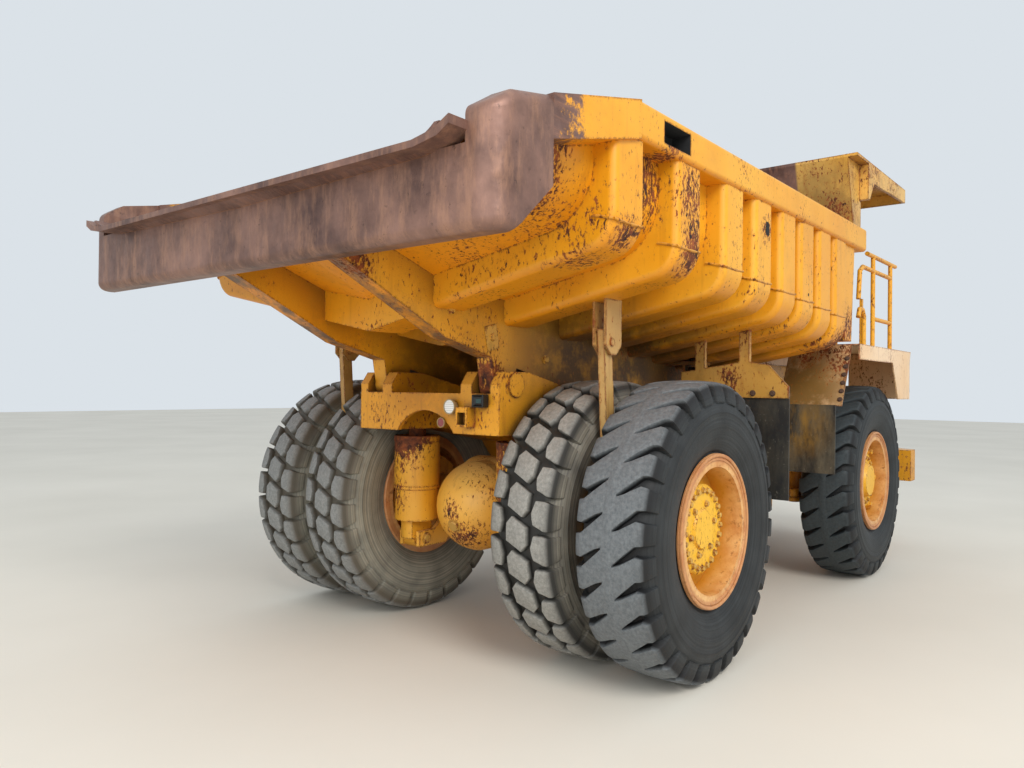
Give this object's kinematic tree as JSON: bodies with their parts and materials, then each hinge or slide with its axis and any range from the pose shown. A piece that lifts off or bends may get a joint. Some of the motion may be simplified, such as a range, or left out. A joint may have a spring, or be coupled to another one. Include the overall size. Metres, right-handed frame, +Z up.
{
  "type": "rigid dump truck",
  "caption": "Two-axle off-highway dump truck with a ribbed V-floor body, twin rear wheels, canopy, left cab, tipping hoist and steered front wheels.",
  "frame": {"origin": "middle of the truck in plan, on the ground", "axes": "+X forward, +Y to the left, +Z up"},
  "size_m": [8.11, 3.8, 3.9044],
  "materials": {
    "yellow_paint": "worn yellow enamel with rust chips",
    "faded_paint": "sun-faded yellow enamel",
    "frame_paint": "dirty yellow enamel",
    "worn_steel": "bare brown steel, scratched",
    "rim_paint": "orange-yellow enamel, rusty",
    "tyre": "worn rubber",
    "flap_rubber": "matt",
    "dark_steel": "oily dark steel",
    "chrome_rod": "polished",
    "glass": "tinted",
    "lamp_glass": "ribbed",
    "seat_cloth": "woven",
    "cab_plastic": "grained"
  },
  "bodies": {
    "chassis": {"main_frame": "frame_paint", "front_bumper": "yellow_paint", "lamps": "lamp_glass", "rear_axle_housing": "frame_paint", "axle_a_frame": "frame_paint", "rear_struts": "frame_paint", "front_struts": "frame_paint", "engine_block": "dark_steel", "transmission": "dark_steel", "radiator": "yellow_paint", "engine_hood": "yellow_paint", "side_tanks": "yellow_paint", "front_decks": "faded_paint", "deck_legs": "frame_paint", "handrails": "yellow_paint", "ladders": "yellow_paint", "front_flaps": "flap_rubber", "cab_shell": "yellow_paint", "cab_glass": "glass", "cab_seat": "seat_cloth", "cab_console": "cab_plastic", "air_cleaners": "yellow_paint"},
    "door": {"cab_door": "yellow_paint", "door_glass": "glass"},
    "lever": {"steer_lever": "dark_steel"},
    "dump_body": {"body_tub": "worn_steel", "body_front": "yellow_paint", "body_rails": "yellow_paint", "side_panels": "yellow_paint", "body_ribs": "yellow_paint", "body_beams": "yellow_paint", "tail_cladding": "worn_steel", "rock_ejectors": "yellow_paint", "flap_brackets": "yellow_paint", "rear_flaps": "flap_rubber"},
    "steer_left": {"knuckle_left": "frame_paint"},
    "wheel_front_left": {"front_tyre_left": "tyre", "front_wheel_left": "rim_paint"},
    "wheels_rear_left": {"rear_tyres_left": "tyre", "rear_wheels_left": "rim_paint"},
    "rod_left": {"tie_rod_left": "dark_steel"},
    "barrel_left": {"hoist_barrel_left": "dark_steel"},
    "stage_left": {"hoist_stage_left": "chrome_rod"},
    "ram_left": {"hoist_rod_left": "chrome_rod"},
    "steer_right": {"knuckle_right": "frame_paint"},
    "wheel_front_right": {"front_tyre_right": "tyre", "front_wheel_right": "rim_paint"},
    "wheels_rear_right": {"rear_tyres_right": "tyre", "rear_wheels_right": "rim_paint"},
    "rod_right": {"tie_rod_right": "dark_steel"},
    "barrel_right": {"hoist_barrel_right": "dark_steel"},
    "stage_right": {"hoist_stage_right": "chrome_rod"},
    "ram_right": {"hoist_rod_right": "chrome_rod"}
  },
  "joints": [
    {"name": "body_tip", "type": "hinge", "parent": "chassis", "child": "dump_body", "pos_m": [-2.345, 0, 1.84], "axis": [0, -1, 0], "range_deg": [0, 50]},
    {"name": "cab_door", "type": "hinge", "parent": "chassis", "child": "door", "pos_m": [1.535, 1.696, 2.945], "axis": [0, 0, 1], "range_deg": [0, 75]},
    {"name": "steering_left", "type": "hinge", "parent": "chassis", "child": "steer_left", "pos_m": [1.985, 1, 0.94], "axis": [0, 0, 1], "range_deg": [-35, 35]},
    {"name": "front_spin_left", "type": "hinge", "parent": "steer_left", "child": "wheel_front_left", "pos_m": [1.985, 1.551, 0.94], "axis": [0, 1, 0], "continuous": true},
    {"name": "rear_spin_left", "type": "hinge", "parent": "chassis", "child": "wheels_rear_left", "pos_m": [-1.725, 1.268, 0.94], "axis": [0, 1, 0], "continuous": true},
    {"name": "tie_rod_left", "type": "hinge", "parent": "lever", "child": "rod_left", "pos_m": [1.665, 0.08, 0.79], "axis": [0, 0, 1], "range_deg": [-35, 35]},
    {"name": "hoist_foot_left", "type": "hinge", "parent": "chassis", "child": "barrel_left", "pos_m": [-0.32, 0.81, 0.70251], "axis": [0, -1, 0], "range_deg": [0, 25]},
    {"name": "hoist_stage_left", "type": "slide", "parent": "barrel_left", "child": "stage_left", "axis": [0.2301, 0, 0.9732], "range_m": [0, 0.8839]},
    {"name": "hoist_ram_left", "type": "slide", "parent": "stage_left", "child": "ram_left", "axis": [0.2301, 0, 0.9732], "range_m": [0, 0.8839]},
    {"name": "steering_right", "type": "hinge", "parent": "chassis", "child": "steer_right", "pos_m": [1.985, -1, 0.94], "axis": [0, 0, 1], "range_deg": [-35, 35]},
    {"name": "front_spin_right", "type": "hinge", "parent": "steer_right", "child": "wheel_front_right", "pos_m": [1.985, -1.551, 0.94], "axis": [0, 1, 0], "continuous": true},
    {"name": "rear_spin_right", "type": "hinge", "parent": "chassis", "child": "wheels_rear_right", "pos_m": [-1.725, -1.268, 0.94], "axis": [0, 1, 0], "continuous": true},
    {"name": "tie_rod_right", "type": "hinge", "parent": "lever", "child": "rod_right", "pos_m": [1.665, -0.08, 0.79], "axis": [0, 0, 1], "range_deg": [-35, 35]},
    {"name": "hoist_foot_right", "type": "hinge", "parent": "chassis", "child": "barrel_right", "pos_m": [-0.32, -0.81, 0.70251], "axis": [0, -1, 0], "range_deg": [0, 25]},
    {"name": "hoist_stage_right", "type": "slide", "parent": "barrel_right", "child": "stage_right", "axis": [0.2301, 0, 0.9732], "range_m": [0, 0.8839]},
    {"name": "hoist_ram_right", "type": "slide", "parent": "stage_right", "child": "ram_right", "axis": [0.2301, 0, 0.9732], "range_m": [0, 0.8839]},
    {"name": "steer_lever", "type": "hinge", "parent": "chassis", "child": "lever", "pos_m": [1.985, 0, 0.8], "axis": [0, 0, 1], "range_deg": [-35, 35]}
  ],
  "couplings": [
    {"joint": "tie_rod_left", "follows": "steering_left", "ratio": -1},
    {"joint": "hoist_foot_left", "follows": "body_tip", "ratio": 0.5},
    {"joint": "hoist_stage_left", "follows": "body_tip", "m_per_rad": 1.0123},
    {"joint": "hoist_ram_left", "follows": "body_tip", "m_per_rad": 1.0123},
    {"joint": "tie_rod_right", "follows": "steering_left", "ratio": -1},
    {"joint": "hoist_foot_right", "follows": "body_tip", "ratio": 0.5},
    {"joint": "hoist_stage_right", "follows": "body_tip", "m_per_rad": 1.0123},
    {"joint": "hoist_ram_right", "follows": "body_tip", "m_per_rad": 1.0123},
    {"joint": "steering_right", "follows": "steering_left", "ratio": 1},
    {"joint": "steer_lever", "follows": "steering_left", "ratio": 1}
  ]
}
